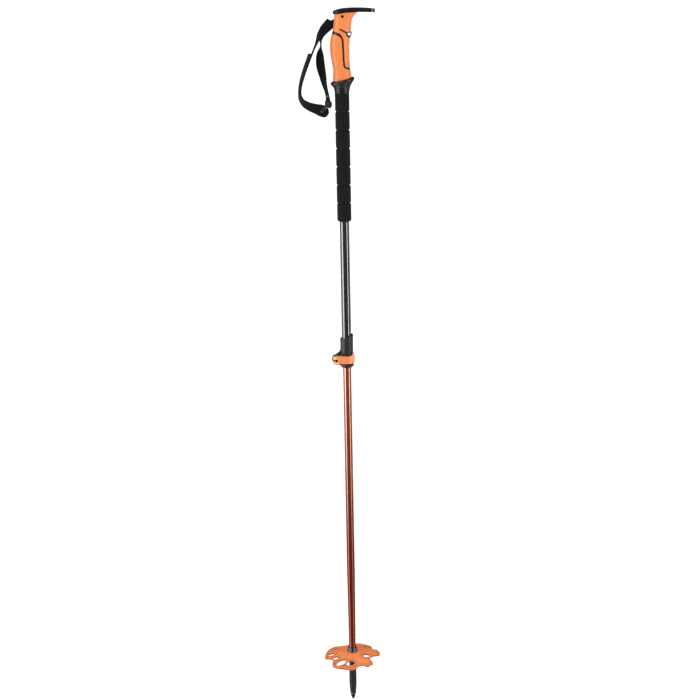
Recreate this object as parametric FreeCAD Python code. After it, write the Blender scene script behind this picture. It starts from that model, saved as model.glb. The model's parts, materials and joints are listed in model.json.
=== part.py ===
import FreeCAD, Part
import math
import os

# Touring ski pole, built upright. Units are millimetres.
# +Z runs up the shaft, +X points along the hook plate, and the wrist strap hangs on the -X side.
# The origin is the lowest point of the tip, on the shaft's axis.

V = FreeCAD.Vector
UP = V(0, 0, 1)
ACROSS = V(0, 1, 0)

# Fits
RUNNING = 0.05            # radial clearance of a running fit
GAP = 0.3                 # space between bodies that only pass each other

# Tubes
UPPER_R = 8.0
UPPER_BORE_R = 7.15
UPPER_BOTTOM = 668.0
UPPER_TOP = 1218.0
LOWER_R = 7.0
LOWER_NECK_R = 6.1
LOWER_WALL = 0.95
LOWER_BOTTOM = 100.0
LOWER_TOP = 925.0
TAPER_START = 125.0
TAPER_END = 248.0

# Tip and ferrule
CARBIDE_R = 2.4
HOLDER_STEM_R = 3.2
HOLDER_TOP = 12.4
HOLDER_STEM_TOP = 34.0
SEAT_R = 6.6
SEAT_BOTTOM = 34.0
SEAT_TOP = 48.0
BASKET_NECK_R = 6.9
CONE_BOTTOM = 98.0
CONE_TOP = 108.0
CONE_R = 9.7
SPIGOT_TOP = 128.0

# Basket
BASKET_R = 51.5
BASKET_RIM_Z = 85.0
BASKET_THICK = 1.9
HUB_R = 9.4
HUB_BOTTOM = 80.0

# Height lock
LOCK_BOTTOM = 648.5
BAND_SEAT_R = 10.3         # recess under the lever's band
COLLAR_R = 11.0
RIM_R = 11.6
COLLAR_TOP_BACK = 698.0
COLLAR_TOP_FRONT = 706.0
BOLT_X = -19.0
BOLT_Z = 662.4
BOLT_R = 1.75
BARREL_Y = -9.5
BARREL_R = 3.0
EAR_Y = 3.3
EAR_R = 6.9
CAM_R = 5.4               # the cam's centre stands off the barrel pin, towards the ear when shut
CAM_OFFSET = 0.5
LEVER_BOTTOM = 655.6
LEVER_TOP = 669.0
LEVER_IN_R = 10.7
LEVER_OUT_R = 13.4
LEVER_TAB_TOP = 674.4
LEVER_SWING = 130.0       # degrees from shut to open
LEVER_SLACK = 12.0        # further degrees left free for the screw
BOSS_ROUND = 2.4
ACCESS_R = 1.9

# Foam sleeve
FOAM_BOTTOM = 906.0
FOAM_TOP = 1122.0
FOAM_R = 12.0
FOAM_GROOVES = 6
GROOVE_DEPTH = 1.7
GROOVE_HALF = 2.4

# Grip
SEAM_Z = 1144.2           # height of the slanted joint with the flange, on the axis
SEAM_SLOPE = 0.2154
SKIN = 2.4
PLATE_HALF_WIDTH = 15.0
PLATE_TIP_X = 56.0
INSERT_X = 50.8
PIN_X = 2.8
PIN_Z = 1247.2
PIN_R = 2.4

# Wrist strap
WEB_THICK = 1.5
PIVOT_X = -13.5
PIVOT_Z = 1235.0


def side_line(a, b):
    """Straight edge between two (x, z) points in the XZ plane."""
    return Part.LineSegment(V(a[0], 0, a[1]), V(b[0], 0, b[1])).toShape()


def cylinder(radius, low, high, x=0.0, y=0.0):
    return Part.makeCylinder(radius, high - low, V(x, y, low), UP)


def rod_across(radius, low_y, high_y, x, z):
    return Part.makeCylinder(radius, high_y - low_y, V(x, low_y, z), ACROSS)


def tube(outer, inner, low, high):
    return cylinder(outer, low, high).cut(cylinder(inner, low - 1, high + 1))


def turned(outline):
    """Solid of revolution about the shaft's axis, from straight (radius, height) points."""
    points = [V(r, 0, z) for r, z in outline]
    face = Part.Face(Part.makePolygon(points + points[:1]))
    return face.revolve(V(0, 0, 0), UP, 360)


def turned_smooth(curve, closing):
    """Solid of revolution whose outside is one smooth curve, shut by straight closing points."""
    spline = Part.BSplineCurve()
    spline.interpolate([V(r, 0, z) for r, z in curve])
    line = [curve[-1]] + closing + [curve[0]]
    edges = [spline.toShape()]
    for a, b in zip(line[:-1], line[1:]):
        edges.append(side_line(a, b))
    return Part.Face(Part.Wire(edges)).revolve(V(0, 0, 0), UP, 360)


def closed_curve(points):
    spline = Part.BSplineCurve()
    spline.interpolate(points, PeriodicFlag=True)
    return Part.Wire([spline.toShape()])


def prism_across(outline, low_y, high_y):
    """Straight-sided outline of (x, z) points in the XZ plane, pulled along Y."""
    points = [V(x, low_y, z) for x, z in outline]
    face = Part.Face(Part.makePolygon(points + points[:1]))
    return face.extrude(V(0, high_y - low_y, 0))


def prism_up(outline, low, high):
    """Straight-sided outline of (x, y) points, pulled along Z."""
    points = [V(x, y, low) for x, y in outline]
    face = Part.Face(Part.makePolygon(points + points[:1]))
    return face.extrude(V(0, 0, high - low))


def band_across(path, half_width, low_y, high_y):
    """Band of constant width that follows (x, z) points, with round corners and ends."""
    band = None
    for x, z in path:
        disc = rod_across(half_width, low_y, high_y, x, z)
        band = disc if band is None else band.fuse(disc)
    for (ax, az), (bx, bz) in zip(path[:-1], path[1:]):
        length = math.hypot(bx - ax, bz - az)
        nx = -(bz - az) / length * half_width
        nz = (bx - ax) / length * half_width
        corners = [(ax + nx, az + nz), (bx + nx, bz + nz), (bx - nx, bz - nz), (ax - nx, az - nz)]
        band = band.fuse(prism_across(corners, low_y, high_y))
    return band.removeSplitter()


def biggest(shape):
    return max(shape.Solids, key=lambda solid: solid.Volume)


# Tip end

def carbide_insert():
    shank = cylinder(CARBIDE_R, 0, 9)
    dimple = Part.makeCone(CARBIDE_R - 0.5, 0.6, 1.1, V(0, 0, 0), UP)
    return shank.cut(dimple)


def tip_holder():
    head = turned([(0, 3.4), (3.0, 3.4), (3.5, 4.2), (4.7, 8.2), (5.1, 9.4),
                   (5.1, HOLDER_TOP), (0, HOLDER_TOP)])
    stem = cylinder(HOLDER_STEM_R, HOLDER_TOP, HOLDER_STEM_TOP)
    return head.fuse(stem).cut(cylinder(CARBIDE_R, 0, 9)).removeSplitter()


def tip_ferrule():
    lower = turned_smooth(
        [(5.3, HOLDER_TOP), (5.75, 18), (6.3, 26), (SEAT_R, SEAT_BOTTOM)],
        [(0, SEAT_BOTTOM), (0, HOLDER_TOP)])
    seat = cylinder(SEAT_R, SEAT_BOTTOM, SEAT_TOP)
    upper = turned_smooth(
        [(SEAT_R, SEAT_TOP), (6.45, 56), (6.25, 66), (6.2, 76)],
        [(0, 76), (0, SEAT_TOP)])
    neck = turned([(0, 76), (6.2, 76), (BASKET_NECK_R, 78), (BASKET_NECK_R, CONE_BOTTOM), (0, CONE_BOTTOM)])
    cone = turned_smooth(
        [(CONE_R, CONE_BOTTOM), (CONE_R, CONE_BOTTOM + 1.2), (8.9, 102), (7.5, 106), (6.9, CONE_TOP)],
        [(0, CONE_TOP), (0, CONE_BOTTOM)])
    spigot = cylinder(LOWER_NECK_R - LOWER_WALL, LOWER_BOTTOM, SPIGOT_TOP)
    body = lower.fuse([seat, upper, neck, cone]).cut(cylinder(LOWER_NECK_R, LOWER_BOTTOM, CONE_TOP + 1))
    body = body.fuse(spigot).cut(cylinder(HOLDER_STEM_R, 0, HOLDER_STEM_TOP))
    return body.removeSplitter()


# Basket. Its edge is given as (degrees, radius) round the shaft.

BASKET_EDGE = [
    (40, 48), (46, 51), (60, 51.5), (74, 51.5), (82, 49), (88, 43.5), (95, 37.5), (106, 35.5),
    (117, 37.5), (124, 43), (130, 49), (139, 51.5), (155, 51.5), (170, 51), (182, 51), (188, 49),
    (193, 43.5), (204, 40.5), (212, 43.5), (219, 48), (228, 50.5), (242, 49.4), (256, 48.6), (268, 49.2),
    (276, 47.4), (283, 42.6), (291, 40.5), (299, 43), (306, 48), (314, 47), (322, 47.5), (326, 43.5),
    (331, 36.5), (341, 35.5), (351, 37.5), (358, 42.5), (5, 49.5), (11, 52), (20, 52), (27, 51.5),
    (29, 47), (34, 44)]
# Holes as (degrees, radius of the centre, half length, half width, degrees that the length is turned).
BASKET_HOLES = [
    (147, 35, 6.0, 4.4, 120), (176, 39, 7.4, 4.8, -15), (204, 34, 6.0, 4.2, -30),
    (235, 36.5, 9.2, 6.0, 30), (264, 34.3, 7.6, 6.2, 5), (338, 27, 7.0, 4.4, 38),
    (50, 35, 6.9, 5.0, 60), (70, 40.5, 5.6, 3.6, 160)]


def polar(degrees, radius, z=0.0):
    angle = math.radians(degrees)
    return V(radius * math.cos(angle), radius * math.sin(angle), z)


def basket():
    top = [(BASKET_R + 1.5, BASKET_RIM_Z - 0.4), (40, 88.4), (26, 93.0), (14, 96.8), (HUB_R, 97.8)]
    dish = turned_smooth(
        top, [(BASKET_NECK_R, 97.8), (BASKET_NECK_R, HUB_BOTTOM), (HUB_R, HUB_BOTTOM), (HUB_R, 93.5),
              (14, 94.3), (26, 90.7), (40, 88.4 - BASKET_THICK),
              (BASKET_R + 1.5, BASKET_RIM_Z - 0.4 - BASKET_THICK)])
    edge = closed_curve([polar(a, r, HUB_BOTTOM - 5) for a, r in BASKET_EDGE])
    blank = Part.Face(edge).extrude(V(0, 0, 30))
    body = dish.common(blank)
    for degrees, radius, half_length, half_width, turn in BASKET_HOLES:
        centre = polar(degrees, radius, HUB_BOTTOM - 5)
        major = polar(turn, 1.0)
        oval = Part.Ellipse(centre + major * half_length, centre + UP.cross(major) * half_width, centre)
        body = body.cut(Part.Face(Part.Wire([oval.toShape()])).extrude(V(0, 0, 30)))
    return body.cut(cylinder(BASKET_NECK_R + RUNNING, HUB_BOTTOM - 1, CONE_BOTTOM + 1))


# Tubes

def lower_shaft():
    outside = [(LOWER_NECK_R, LOWER_BOTTOM), (LOWER_NECK_R, TAPER_START), (LOWER_R, TAPER_END),
               (LOWER_R, LOWER_TOP)]
    inside = [(r - LOWER_WALL, z) for r, z in reversed(outside)]
    return turned(outside + inside)


def guide_plug():
    bore = LOWER_R - LOWER_WALL
    guide_r = UPPER_BORE_R - RUNNING
    return turned([
        (0, LOWER_TOP - 20), (bore - 0.4, LOWER_TOP - 20), (bore, LOWER_TOP - 18), (bore, LOWER_TOP),
        (guide_r, LOWER_TOP), (guide_r, LOWER_TOP + 10), (guide_r - 1.5, LOWER_TOP + 12),
        (3.5, LOWER_TOP + 12), (3.5, LOWER_TOP + 3), (0, LOWER_TOP + 3)])


def upper_shaft():
    return tube(UPPER_R, UPPER_BORE_R, UPPER_BOTTOM, UPPER_TOP)


def shaft_plug():
    return turned([
        (0, UPPER_TOP - 18), (UPPER_BORE_R - 0.4, UPPER_TOP - 18), (UPPER_BORE_R, UPPER_TOP - 16),
        (UPPER_BORE_R, UPPER_TOP), (UPPER_R, UPPER_TOP), (UPPER_R, UPPER_TOP + 1.2), (0, UPPER_TOP + 1.2)])


def reducer_bush():
    bore = LOWER_R + RUNNING
    sleeve = tube(UPPER_R, bore, LOCK_BOTTOM - 1.5, UPPER_BOTTOM)
    lip = tube(UPPER_R + 1.4, bore, LOCK_BOTTOM - 1.5, LOCK_BOTTOM)
    slit = Part.makeBox(6, 1.4, 30, V(-11, -0.7, LOCK_BOTTOM - 5))
    return sleeve.fuse(lip).removeSplitter().cut(slit)


# Height lock

def clamp_collar():
    sleeve = turned([(0, LOCK_BOTTOM), (RIM_R - 1.0, LOCK_BOTTOM), (RIM_R, LOCK_BOTTOM + 1.2),
                     (RIM_R, LOCK_BOTTOM + 5.0), (BAND_SEAT_R, LOCK_BOTTOM + 6.3), (BAND_SEAT_R, 675.2),
                     (COLLAR_R, 677.6), (COLLAR_R, 690), (COLLAR_R + 0.3, 710), (0, 710)])
    slope = (COLLAR_TOP_FRONT - COLLAR_TOP_BACK) / (2 * COLLAR_R)
    middle = (COLLAR_TOP_FRONT + COLLAR_TOP_BACK) / 2
    waste = prism_across([(-30, middle - 30 * slope), (30, middle + 30 * slope),
                          (30, 740), (-30, 740)], -30, 30)
    ears = rod_across(EAR_R, -EAR_Y, EAR_Y, BOLT_X, BOLT_Z)
    web = prism_across([(BOLT_X, BOLT_Z - EAR_R), (-15.6, 651.6), (-8, LOCK_BOTTOM + 0.6), (-8, 681),
                        (-10.8, 679.5), (-11.9, 676.4), (-14.0, 673.4), (-16.6, 671.2),
                        (BOLT_X, BOLT_Z + EAR_R)], -EAR_Y, EAR_Y)
    shoulder = turned([(0, 669.6), (BAND_SEAT_R, 669.6), (BAND_SEAT_R + 0.9, 672), (COLLAR_R, 675),
                       (COLLAR_R, 678), (0, 678)])
    back_half = Part.makeBox(12, 24, 20, V(-18, -12, 664))
    body = sleeve.fuse([ears, web, shoulder.common(back_half)]).cut(waste)
    bore = cylinder(UPPER_R, LOCK_BOTTOM - 1, 720)
    slit = Part.makeBox(30, 1.4, 38, V(-36, -0.7, LOCK_BOTTOM - 5))
    bolt_hole = rod_across(BOLT_R + GAP, -20, 20, BOLT_X, BOLT_Z)
    pad_seat = Part.makeBox(7.4, 1.2, 8.4, V(BOLT_X - 3.7, -EAR_Y, BOLT_Z - 4.2))
    return biggest(body.cut([bore, slit, bolt_hole, pad_seat]).removeSplitter())


def cam_pad():
    plate = Part.makeBox(7.4, 1.2, 8.4, V(BOLT_X - 3.7, -EAR_Y, BOLT_Z - 4.2))
    return plate.cut(rod_across(BOLT_R + GAP, -20, 20, BOLT_X, BOLT_Z))


def barrel_pin():
    pin = cylinder(BARREL_R, LEVER_BOTTOM + 0.8, LEVER_TOP - 0.8, BOLT_X, BARREL_Y)
    return pin.cut(rod_across(BOLT_R + RUNNING, -30, 30, BOLT_X, BOLT_Z))


def tension_screw():
    shank = rod_across(BOLT_R, BARREL_Y - 2.2, EAR_Y + 1, BOLT_X, BOLT_Z)
    head = rod_across(3.4, EAR_Y + GAP, EAR_Y + 3.4, BOLT_X, BOLT_Z)
    hexagon = [V(BOLT_X + 1.45 * math.cos(math.radians(60 * k)), EAR_Y + 1.5,
                 BOLT_Z + 1.45 * math.sin(math.radians(60 * k))) for k in range(7)]
    socket = Part.Face(Part.makePolygon(hexagon)).extrude(V(0, 4, 0))
    return shank.fuse(head).cut(socket)


def cam_boss(y):
    """Upright boss of the lever, with its upper rim rounded."""
    top = LEVER_TOP + 0.2
    boss = cylinder(CAM_R, LEVER_BOTTOM - 0.8, top, BOLT_X, y)
    rim = [edge for edge in boss.Edges if edge.BoundBox.ZMin > top - 0.01]
    return boss.makeFillet(BOSS_ROUND, rim)


def lock_lever():
    ring = tube(LEVER_OUT_R, LEVER_IN_R, LEVER_BOTTOM, LEVER_TAB_TOP)
    front = prism_up([(-13.5, -30), (30, -30), (30, 3.2), (0, 3.2), (0, -5), (-13.5, -5)], 640, 690)
    side = prism_across([(-14, 640), (14, 640), (14, 663.5), (13.3, 667.5), (12.6, 670.4), (11.8, 672.8),
                         (11.0, LEVER_TAB_TOP), (10.4, LEVER_TAB_TOP), (9.9, 672.6), (9.3, 671.0),
                         (8.0, 669.7), (5.8, LEVER_TOP), (-14, LEVER_TOP)], -30, 30)
    band = ring.common(front).common(side)
    boss = cam_boss(BARREL_Y + CAM_OFFSET).fuse(cam_boss(BARREL_Y - 0.6))
    neck = prism_up([(BOLT_X, BARREL_Y - CAM_R - 0.6), (-14.0, -14.0), (-9.5, -12.2), (-4.0, -12.2),
                     (-9.4, -6.6), (-12.2, -5.4), (BOLT_X + 3, BARREL_Y + 4.6), (BOLT_X, BARREL_Y)],
                    LEVER_BOTTOM, LEVER_TOP)
    body = band.fuse([boss, neck]).cut(cylinder(LEVER_IN_R, 640, 690))
    pin_hole = cylinder(BARREL_R + RUNNING, 640, 690, BOLT_X, BARREL_Y)
    low = BOLT_Z - BOLT_R - GAP
    high = BOLT_Z + BOLT_R + GAP
    pivot = V(BOLT_X, BARREL_Y, low)
    half = BOLT_R + GAP
    last = 90 + LEVER_SWING + LEVER_SLACK
    fan = [pivot + polar(0, half), pivot + polar(0, half) + polar(90, 12)]
    fan += [pivot + polar(90 + (last - 90) * k / 10, 12) for k in range(11)]
    fan += [pivot + polar(last + 90, half) + polar(last, 12), pivot + polar(last + 90, half)]
    slot = Part.Face(Part.makePolygon(fan + fan[:1])).extrude(V(0, 0, high - low))
    access = rod_across(ACCESS_R, -30, BARREL_Y, BOLT_X + 1.0, BOLT_Z)
    return biggest(body.cut([pin_hole, slot, access]).removeSplitter())


# Foam

def foam_sleeve():
    pitch = (FOAM_TOP - FOAM_BOTTOM) / (FOAM_GROOVES + 1)
    outline = [(UPPER_R, FOAM_BOTTOM), (FOAM_R - 2.2, FOAM_BOTTOM), (FOAM_R - 0.6, FOAM_BOTTOM + 0.7),
               (FOAM_R, FOAM_BOTTOM + 2.4)]
    for k in range(1, FOAM_GROOVES + 1):
        z = FOAM_BOTTOM + k * pitch
        outline += [(FOAM_R, z - GROOVE_HALF), (FOAM_R - GROOVE_DEPTH, z), (FOAM_R, z + GROOVE_HALF)]
    outline += [(FOAM_R, FOAM_TOP), (UPPER_R, FOAM_TOP)]
    return turned(outline)


# Grip. Cross-sections are (height, back, front, half width).

GRIP_SECTIONS = [
    (1122, -16.6, 18.6, 14.6), (1134, -15.2, 18.2, 14.5), (1143, -14.6, 17.2, 14.2),
    (1152, -13.9, 15.6, 13.9), (1166, -14.8, 14.1, 13.9), (1180, -17.1, 13.4, 14.7),
    (1198, -18.2, 13.6, 15.2), (1213, -16.4, 14.9, 14.8), (1223, -13.8, 16.1, 14.2),
    (1231, -12.2, 16.7, 13.9), (1239, -11.4, 18.0, 13.8), (1245, -10.6, 20.4, 13.9),
    (1250, -10.6, 24.6, 14.2), (1255, -11.4, 31.5, 14.6), (1260, -12.6, 40.0, 15.0)]
SECTION_POWER = 2.3
SECTION_POINTS = 28
# Underside of the hook plate, from back to front, as (x, z).
UNDERSIDE = [(-12.7, 1250.4), (-6, 1251.1), (4, 1252.6), (16, 1253.6), (36, 1253.7), (PLATE_TIP_X, 1252.7)]
TOPSIDE = [(PLATE_TIP_X, 1256.8), (44, 1258.0), (26, 1258.8), (8, 1258.3), (-5, 1256.5), (-12.7, 1254.3)]
# Parting line of the two skins, from the back edge to the front edge, as (x, z).
PARTING = [(-24, 1224.5), (-15, 1221.6), (-7, 1219.6), (-1.6, 1216.8), (1.6, 1212.6), (2.9, 1206.5),
           (3.7, 1180), (4.4, 1168.2), (5.8, 1165.4), (9, 1163.4), (24, 1158.6)]
PARTING_HALF = 1.5
PARTING_WIDE = 2.15       # over the first stretch, behind the palm
PARTING_WIDE_POINTS = 4
EYELET_TAIL = [(-1.4, 1226.4), (4.0, 1224.0), (9.5, 1220.6)]
EYELET_CORNERS = [(10.9, 1218.9), (15.3, 1219.1), (13.6, 1215.2)]
EYELET_HOLE_R = 1.35
EYELET_RIM = 1.25
TAIL_HALF = 1.15


def grip_section(z, back, front, half_width, grow):
    middle = (back + front) / 2
    reach = (front - back) / 2 + grow
    points = []
    for k in range(SECTION_POINTS):
        angle = 2 * math.pi * (k + 0.5) / SECTION_POINTS
        cosine = math.cos(angle)
        sine = math.sin(angle)
        x = middle + reach * math.copysign(abs(cosine) ** (2 / SECTION_POWER), cosine)
        y = (half_width + grow) * math.copysign(abs(sine) ** (2 / SECTION_POWER), sine)
        points.append(V(x, y, z))
    return closed_curve(points)


def plate_outline(points):
    spline = Part.BSplineCurve()
    spline.interpolate([V(x, 0, z) for x, z in points])
    return spline.toShape()


def grip_form(grow):
    """Outside form of the grip, grown or shrunk, between the flange's seam and the hook plate."""
    form = Part.makeLoft([grip_section(z, b, f, w, grow) for z, b, f, w in GRIP_SECTIONS], True, False)
    left = UNDERSIDE[0]
    right = UNDERSIDE[-1]
    edges = [plate_outline(UNDERSIDE)]
    frame = [right, (80, right[1]), (80, 1110), (-60, 1110), (-60, left[1]), left]
    for a, b in zip(frame[:-1], frame[1:]):
        edges.append(side_line(a, b))
    room = Part.Face(Part.Wire(edges)).extrude(V(0, 60, 0)).translated(V(0, -30, 0))
    waste = prism_across([(-60, SEAM_Z - 60 * SEAM_SLOPE), (60, SEAM_Z + 60 * SEAM_SLOPE),
                          (60, 1100), (-60, 1100)], -30, 30)
    return form.common(room).cut(waste)


def eyelet_form(rim, half_length):
    """Rounded triangle round the eyelet's hole, pulled across the grip."""
    return hull_across(EYELET_CORNERS, EYELET_HOLE_R + rim, -half_length, half_length)


def hull_across(corners, radius, low_y, high_y):
    body = band_across(corners + corners[:1], radius, low_y, high_y)
    return body.fuse(prism_across(corners, low_y, high_y)).removeSplitter()


def strap_slot(extra):
    """Space of the folded webbing end inside the grip's head."""
    round_r = 4.0 + extra
    reach = 7.4 + extra
    mouth_x = PIVOT_X + 0.6 - 4 * extra
    inner = rod_across(round_r, -WEB_THICK - extra, WEB_THICK + extra, PIN_X, PIN_Z)
    mouth = prism_across([(PIN_X - 1, PIN_Z + round_r), (mouth_x, PIVOT_Z + reach),
                          (mouth_x, PIVOT_Z - reach - 3.4 * extra), (PIN_X + 1, PIN_Z - round_r)],
                         -WEB_THICK - extra, WEB_THICK + extra)
    return inner.fuse(mouth).removeSplitter()


def parting_band():
    wide = band_across(PARTING[:PARTING_WIDE_POINTS], PARTING_WIDE, -30, 30)
    return wide.fuse(band_across(PARTING, PARTING_HALF, -30, 30)).removeSplitter()


def grip_core():
    body = grip_form(-SKIN).fuse(grip_form(-0.35).common(parting_band()))
    cuts = [cylinder(UPPER_R, 1100, UPPER_TOP + 1.2), strap_slot(0.5), eyelet_form(EYELET_RIM, 30),
            rod_across(PIN_R, -30, 30, PIN_X, PIN_Z)]
    return biggest(body.cut(cuts).removeSplitter())


def grip_skins():
    shell = grip_form(0).cut(grip_form(-SKIN)).cut(parting_band())
    tail = band_across(EYELET_TAIL, TAIL_HALF, -30, 30)
    shell = shell.cut([tail, strap_slot(0.5), eyelet_form(EYELET_RIM, 30),
                       rod_across(PIN_R, -30, 30, PIN_X, PIN_Z)])
    pieces = sorted(shell.Solids, key=lambda solid: solid.Volume)[-2:]
    pieces.sort(key=lambda solid: solid.CenterOfMass.z)
    return pieces


def lanyard_eyelet():
    """Sleeve through the front of the grip that stands a little proud, with a thin tail on each side."""
    bulge = Part.Face(grip_section(1205, -16, 18.2, 12.2, 0)).extrude(V(0, 0, 24))
    ring = eyelet_form(EYELET_RIM, 30).common(grip_form(0.5).fuse(bulge))
    tail = band_across(EYELET_TAIL, TAIL_HALF, -30, 30).common(grip_form(-0.2)).cut(grip_form(-SKIN))
    return ring.fuse(tail).cut(eyelet_form(0, 30))


def plate_blank():
    edges = [plate_outline(UNDERSIDE), side_line(UNDERSIDE[-1], TOPSIDE[0]),
             plate_outline(TOPSIDE), side_line(TOPSIDE[-1], UNDERSIDE[0])]
    side = Part.Face(Part.Wire(edges)).extrude(V(0, 40, 0)).translated(V(0, -20, 0))
    w = PLATE_HALF_WIDTH
    plan = [V(-12.7, 0, 0), V(-11.4, 0.5 * w, 0), V(-7, 0.86 * w, 0), V(0, w, 0), V(16, w, 0),
            V(36, w - 1.2, 0), V(50, w - 2.2, 0), V(54.2, w - 3.6, 0), V(PLATE_TIP_X, w - 7, 0)]
    plan += [V(p.x, -p.y, 0) for p in reversed(plan[1:])]
    outline = closed_curve([p + V(0, 0, 1240) for p in plan])
    return side.common(Part.Face(outline).extrude(V(0, 0, 30)))


def plate_parts():
    blank = plate_blank()
    ahead = Part.makeBox(20, 60, 40, V(INSERT_X, -30, 1240))
    tongue = Part.makeBox(6, 14, 1.8, V(INSERT_X - 6, -7, 1254.4))
    plate = blank.cut(ahead).cut(tongue)
    insert = blank.common(ahead).fuse(tongue).removeSplitter()
    return biggest(plate), biggest(insert)


def grip_collar():
    """Flange and neck below the grip, as (height, slope, middle x, half length, half width)."""
    levels = [(FOAM_TOP, 0, 0, 12.1, 12.1), (1125, 0, 0, 12.3, 12.3), (1129, 0.04, 0.1, 13.1, 12.9),
              (1133, 0.11, 0.4, 14.7, 14.2), (1136.6, 0.18, 0.9, 17.2, 16.1),
              (1139.2, SEAM_SLOPE, 1.2, 19.3, 17.8), (1141.0, SEAM_SLOPE, 1.2, 19.8, 18.2),
              (1142.6, SEAM_SLOPE, 1.2, 19.0, 17.5), (SEAM_Z, SEAM_SLOPE, 1.2, 16.9, 15.2)]
    wires = []
    for z, slope, middle, half_length, half_width in levels:
        ring = []
        for k in range(SECTION_POINTS):
            angle = 2 * math.pi * k / SECTION_POINTS
            x = middle + half_length * math.cos(angle)
            ring.append(V(x, half_width * math.sin(angle), z + slope * x))
        wires.append(closed_curve(ring))
    return Part.makeLoft(wires, True, False).cut(cylinder(UPPER_R, 1100, 1200))


def strap_pin():
    return rod_across(PIN_R, -12.4, 12.4, PIN_X, PIN_Z)


# Wrist strap. Stations are (x, y, z, width, twist); twist 0 shows the webbing's face along Y.

BAND_LEFT = [(-17.2, -0.9, 1232.2, 8, 0), (-22.5, -0.9, 1229.4, 15.5, 0), (-28.5, -0.9, 1224.6, 15.5, 0),
             (-33.8, -1.0, 1217.6, 15.5, 0), (-38.4, -1.6, 1208.6, 12, -30), (-41.8, -2.4, 1200.5, 13, -78),
             (-44.6, -3.0, 1194, 14, -84), (-47.3, -3.8, 1188.4, 14, -80)]
BAND_RIGHT = [(-17.2, 0.9, 1232.2, 8, 0), (-22.5, 0.9, 1229.4, 15.5, 0), (-28.0, 0.9, 1224.4, 15.5, 0),
              (-32.2, 1.1, 1217.2, 14, -4), (-33.2, 2.0, 1207, 10, -60), (-33.4, 2.8, 1197, 14, -84),
              (-34.7, 3.6, 1186, 15.5, -46), (-34.9, 4.2, 1172, 15.5, -24), (-33.4, 4.2, 1160, 15.5, -26),
              (-31.0, 3.8, 1148, 15.5, -42), (-28.9, 3.2, 1136, 15.5, -56), (-25.7, 3.0, 1124, 15.5, -66),
              (-23.6, 3.0, 1113, 15.5, -64), (-22.9, 2.8, 1103, 15.5, -60), (-23.8, 2.6, 1097.6, 15.5, -56)]
PAD_STATIONS = [(-50.6, -5.2, 1185.8, 18, -74), (-58.0, -6.2, 1168, 20, -75), (-63.4, -6.4, 1153, 20, -76),
                (-67.8, -5.8, 1138, 20, -78), (-69.6, -4.8, 1124, 20, -78), (-67.6, -3.9, 1112.6, 20, -66),
                (-61.2, -3.4, 1104.7, 20, -50), (-51.8, -3.0, 1099.6, 20, -38),
                (-43.8, -2.6, 1096.8, 20, -29), (-36.5, -2.2, 1094.2, 20, -10),
                (-30.6, -2.0, 1092.0, 19, -3), (-25.4, -2.0, 1091.0, 14, 0)]
PAD_THICK = 3.4


def ribbon(stations, thickness):
    """Flat strip through its stations, made of straight-sided spans."""
    centres = [V(x, y, z) for x, y, z, _, _ in stations]
    wires = []
    for k, (x, y, z, width, twist) in enumerate(stations):
        along = centres[min(k + 1, len(centres) - 1)] - centres[max(k - 1, 0)]
        along.normalize()
        level = along.cross(ACROSS)
        level.normalize()
        side = level * math.cos(math.radians(twist)) + ACROSS * math.sin(math.radians(twist))
        normal = along.cross(side)
        normal.normalize()
        a = side * (width / 2)
        b = normal * (thickness / 2)
        c = centres[k]
        wires.append(Part.makePolygon([c - a - b, c + a - b, c + a + b, c - a + b, c - a - b]))
    return Part.makeLoft(wires, True, True)


def strap_anchor():
    body = strap_slot(0)
    return body.cut(rod_across(PIN_R, -30, 30, PIN_X, PIN_Z))


def strap_slider():
    """Plastic slider threaded on the webbing above the pad's end."""
    block = Part.makeBox(19.0, 5.4, 9.0, V(-9.5, -2.7, -4.5))
    block = block.makeFillet(1.2, block.Edges)
    block.rotate(V(0, 0, 0), UP, -66)
    block.translate(V(-22.9, 3.0, 1103.8))
    return block.cut(ribbon(BAND_RIGHT, WEB_THICK + 0.5))


def build():
    palm, head = grip_skins()
    plate, insert = plate_parts()
    return {
        "carbide_insert": carbide_insert(),
        "tip_holder": tip_holder(),
        "tip_ferrule": tip_ferrule(),
        "basket": basket(),
        "lower_shaft": lower_shaft(),
        "guide_plug": guide_plug(),
        "upper_shaft": upper_shaft(),
        "shaft_plug": shaft_plug(),
        "reducer_bush": reducer_bush(),
        "clamp_collar": clamp_collar(),
        "cam_pad": cam_pad(),
        "barrel_pin": barrel_pin(),
        "tension_screw": tension_screw(),
        "lock_lever": lock_lever(),
        "foam_sleeve": foam_sleeve(),
        "grip_collar": grip_collar(),
        "grip_core": grip_core(),
        "grip_palm_skin": palm,
        "grip_head_skin": head,
        "lanyard_eyelet": lanyard_eyelet(),
        "hook_plate": plate,
        "scraper_insert": insert,
        "strap_pin": strap_pin(),
        "strap_anchor": strap_anchor(),
        "strap_webbing_left": ribbon(BAND_LEFT, WEB_THICK),
        "strap_webbing_right": ribbon(BAND_RIGHT, WEB_THICK),
        "strap_pad": ribbon(PAD_STATIONS, PAD_THICK),
        "strap_slider": strap_slider(),
    }


os.makedirs("parts", exist_ok=True)
for name, shape in build().items():
    print(name, "valid", shape.isValid(), "solids", len(shape.Solids), "volume", round(shape.Volume, 1))
    shape.exportStep("parts/" + name + ".step")
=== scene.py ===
import json
import math
import bmesh
import bpy
import numpy as np
from mathutils import Matrix, Vector
from mathutils.kdtree import KDTree


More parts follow.
